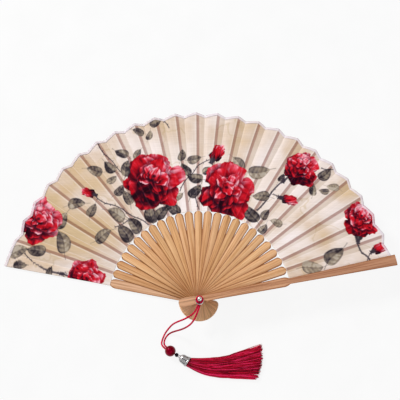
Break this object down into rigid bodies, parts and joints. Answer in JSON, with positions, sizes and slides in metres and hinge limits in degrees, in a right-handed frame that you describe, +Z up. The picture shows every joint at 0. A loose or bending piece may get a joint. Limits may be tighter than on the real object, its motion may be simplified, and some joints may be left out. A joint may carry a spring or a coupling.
{
  "type": "folding hand fan",
  "caption": "Folding hand fan with tan wooden ribs and guards on one rivet, a pleated printed silk leaf, and a silk cord with beads and a tassel.",
  "frame": {"origin": "on the pivot axis, at the level of the rear guard's flat back, which is the floor the fan lies on", "axes": "+Z up along the pivot rivet towards its dome; +Y towards the middle of the open leaf; +X towards the front guard"},
  "size_m": [0.3737, 0.2586, 0.034],
  "materials": {
    "rib_wood": "satin, fine lengthwise grain",
    "guard_wood": "satin, fine lengthwise grain",
    "leaf_silk": "printed silk, matt",
    "rivet_metal": "polished",
    "cord_silk": "satin cord",
    "red_bead": "polished",
    "black_bead": "polished",
    "cap_metal": "cast silver colour",
    "tassel_silk": "satin threads"
  },
  "bodies": {
    "rear_guard": {"rear_guard": "guard_wood", "leaf_panel_00": "leaf_silk", "pivot_rivet": "rivet_metal", "rivet_ring": "rivet_metal", "cord_hitch": "cord_silk", "cord_strand_left": "cord_silk", "cord_strand_right": "cord_silk", "tassel_bead": "red_bead", "tassel_spacer_bead": "black_bead", "tassel_cap": "cap_metal", "tassel_core_cord": "cord_silk", "tassel_skirt": "tassel_silk"},
    "rib_01": {"rib_01": "rib_wood", "leaf_panel_01": "leaf_silk"},
    "rib_02": {"rib_02": "rib_wood", "leaf_panel_02": "leaf_silk"},
    "rib_03": {"rib_03": "rib_wood", "leaf_panel_03": "leaf_silk"},
    "rib_04": {"rib_04": "rib_wood", "leaf_panel_04": "leaf_silk"},
    "rib_05": {"rib_05": "rib_wood", "leaf_panel_05": "leaf_silk"},
    "rib_06": {"rib_06": "rib_wood", "leaf_panel_06": "leaf_silk"},
    "rib_07": {"rib_07": "rib_wood", "leaf_panel_07": "leaf_silk"},
    "rib_08": {"rib_08": "rib_wood", "leaf_panel_08": "leaf_silk"},
    "rib_09": {"rib_09": "rib_wood", "leaf_panel_09": "leaf_silk"},
    "rib_10": {"rib_10": "rib_wood", "leaf_panel_10": "leaf_silk"},
    "rib_11": {"rib_11": "rib_wood", "leaf_panel_11": "leaf_silk"},
    "rib_12": {"rib_12": "rib_wood", "leaf_panel_12": "leaf_silk"},
    "rib_13": {"rib_13": "rib_wood", "leaf_panel_13": "leaf_silk"},
    "rib_14": {"rib_14": "rib_wood", "leaf_panel_14": "leaf_silk"},
    "rib_15": {"rib_15": "rib_wood", "leaf_panel_15": "leaf_silk"},
    "rib_16": {"rib_16": "rib_wood", "leaf_panel_16": "leaf_silk"},
    "rib_17": {"rib_17": "rib_wood", "leaf_panel_17": "leaf_silk"},
    "rib_18": {"rib_18": "rib_wood", "leaf_panel_18": "leaf_silk"},
    "rib_19": {"rib_19": "rib_wood", "leaf_panel_19": "leaf_silk"},
    "rib_20": {"rib_20": "rib_wood", "leaf_panel_20": "leaf_silk"},
    "rib_21": {"rib_21": "rib_wood", "leaf_panel_21": "leaf_silk"},
    "rib_22": {"rib_22": "rib_wood", "leaf_panel_22": "leaf_silk"},
    "rib_23": {"rib_23": "rib_wood", "leaf_panel_23": "leaf_silk"},
    "front_guard": {"front_guard": "guard_wood", "leaf_panel_24": "leaf_silk"}
  },
  "joints": [
    {"name": "fold_01", "type": "hinge", "parent": "rear_guard", "child": "rib_01", "pos_m": [0, 0, 0], "axis": [0, 0, 1], "range_deg": [0, 6.49]},
    {"name": "fold_02", "type": "hinge", "parent": "rib_01", "child": "rib_02", "pos_m": [0, 0, 0], "axis": [0, 0, 1], "range_deg": [0, 6.49]},
    {"name": "fold_03", "type": "hinge", "parent": "rib_02", "child": "rib_03", "pos_m": [0, 0, 0], "axis": [0, 0, 1], "range_deg": [0, 6.49]},
    {"name": "fold_04", "type": "hinge", "parent": "rib_03", "child": "rib_04", "pos_m": [0, 0, 0], "axis": [0, 0, 1], "range_deg": [0, 6.49]},
    {"name": "fold_05", "type": "hinge", "parent": "rib_04", "child": "rib_05", "pos_m": [0, 0, 0], "axis": [0, 0, 1], "range_deg": [0, 6.49]},
    {"name": "fold_06", "type": "hinge", "parent": "rib_05", "child": "rib_06", "pos_m": [0, 0, 0], "axis": [0, 0, 1], "range_deg": [0, 6.49]},
    {"name": "fold_07", "type": "hinge", "parent": "rib_06", "child": "rib_07", "pos_m": [0, 0, 0], "axis": [0, 0, 1], "range_deg": [0, 6.49]},
    {"name": "fold_08", "type": "hinge", "parent": "rib_07", "child": "rib_08", "pos_m": [0, 0, 0], "axis": [0, 0, 1], "range_deg": [0, 6.49]},
    {"name": "fold_09", "type": "hinge", "parent": "rib_08", "child": "rib_09", "pos_m": [0, 0, 0], "axis": [0, 0, 1], "range_deg": [0, 6.49]},
    {"name": "fold_10", "type": "hinge", "parent": "rib_09", "child": "rib_10", "pos_m": [0, 0, 0], "axis": [0, 0, 1], "range_deg": [0, 6.49]},
    {"name": "fold_11", "type": "hinge", "parent": "rib_10", "child": "rib_11", "pos_m": [0, 0, 0], "axis": [0, 0, 1], "range_deg": [0, 6.49]},
    {"name": "fold_12", "type": "hinge", "parent": "rib_11", "child": "rib_12", "pos_m": [0, 0, 0], "axis": [0, 0, 1], "range_deg": [0, 6.49]},
    {"name": "fold_13", "type": "hinge", "parent": "rib_12", "child": "rib_13", "pos_m": [0, 0, 0], "axis": [0, 0, 1], "range_deg": [0, 6.49]},
    {"name": "fold_14", "type": "hinge", "parent": "rib_13", "child": "rib_14", "pos_m": [0, 0, 0], "axis": [0, 0, 1], "range_deg": [0, 6.49]},
    {"name": "fold_15", "type": "hinge", "parent": "rib_14", "child": "rib_15", "pos_m": [0, 0, 0], "axis": [0, 0, 1], "range_deg": [0, 6.49]},
    {"name": "fold_16", "type": "hinge", "parent": "rib_15", "child": "rib_16", "pos_m": [0, 0, 0], "axis": [0, 0, 1], "range_deg": [0, 6.49]},
    {"name": "fold_17", "type": "hinge", "parent": "rib_16", "child": "rib_17", "pos_m": [0, 0, 0], "axis": [0, 0, 1], "range_deg": [0, 6.49]},
    {"name": "fold_18", "type": "hinge", "parent": "rib_17", "child": "rib_18", "pos_m": [0, 0, 0], "axis": [0, 0, 1], "range_deg": [0, 6.49]},
    {"name": "fold_19", "type": "hinge", "parent": "rib_18", "child": "rib_19", "pos_m": [0, 0, 0], "axis": [0, 0, 1], "range_deg": [0, 6.49]},
    {"name": "fold_20", "type": "hinge", "parent": "rib_19", "child": "rib_20", "pos_m": [0, 0, 0], "axis": [0, 0, 1], "range_deg": [0, 6.49]},
    {"name": "fold_21", "type": "hinge", "parent": "rib_20", "child": "rib_21", "pos_m": [0, 0, 0], "axis": [0, 0, 1], "range_deg": [0, 6.49]},
    {"name": "fold_22", "type": "hinge", "parent": "rib_21", "child": "rib_22", "pos_m": [0, 0, 0], "axis": [0, 0, 1], "range_deg": [0, 6.49]},
    {"name": "fold_23", "type": "hinge", "parent": "rib_22", "child": "rib_23", "pos_m": [0, 0, 0], "axis": [0, 0, 1], "range_deg": [0, 6.49]},
    {"name": "fold_24", "type": "hinge", "parent": "rib_23", "child": "front_guard", "pos_m": [0, 0, 0], "axis": [0, 0, 1], "range_deg": [0, 7.6]}
  ],
  "couplings": [
    {"joint": "fold_02", "follows": "fold_01", "ratio": 1},
    {"joint": "fold_03", "follows": "fold_01", "ratio": 1},
    {"joint": "fold_04", "follows": "fold_01", "ratio": 1},
    {"joint": "fold_05", "follows": "fold_01", "ratio": 1},
    {"joint": "fold_06", "follows": "fold_01", "ratio": 1},
    {"joint": "fold_07", "follows": "fold_01", "ratio": 1},
    {"joint": "fold_08", "follows": "fold_01", "ratio": 1},
    {"joint": "fold_09", "follows": "fold_01", "ratio": 1},
    {"joint": "fold_10", "follows": "fold_01", "ratio": 1},
    {"joint": "fold_11", "follows": "fold_01", "ratio": 1},
    {"joint": "fold_12", "follows": "fold_01", "ratio": 1},
    {"joint": "fold_13", "follows": "fold_01", "ratio": 1},
    {"joint": "fold_14", "follows": "fold_01", "ratio": 1},
    {"joint": "fold_15", "follows": "fold_01", "ratio": 1},
    {"joint": "fold_16", "follows": "fold_01", "ratio": 1},
    {"joint": "fold_17", "follows": "fold_01", "ratio": 1},
    {"joint": "fold_18", "follows": "fold_01", "ratio": 1},
    {"joint": "fold_19", "follows": "fold_01", "ratio": 1},
    {"joint": "fold_20", "follows": "fold_01", "ratio": 1},
    {"joint": "fold_21", "follows": "fold_01", "ratio": 1},
    {"joint": "fold_22", "follows": "fold_01", "ratio": 1},
    {"joint": "fold_23", "follows": "fold_01", "ratio": 1},
    {"joint": "fold_24", "follows": "fold_01", "ratio": 1.171}
  ]
}
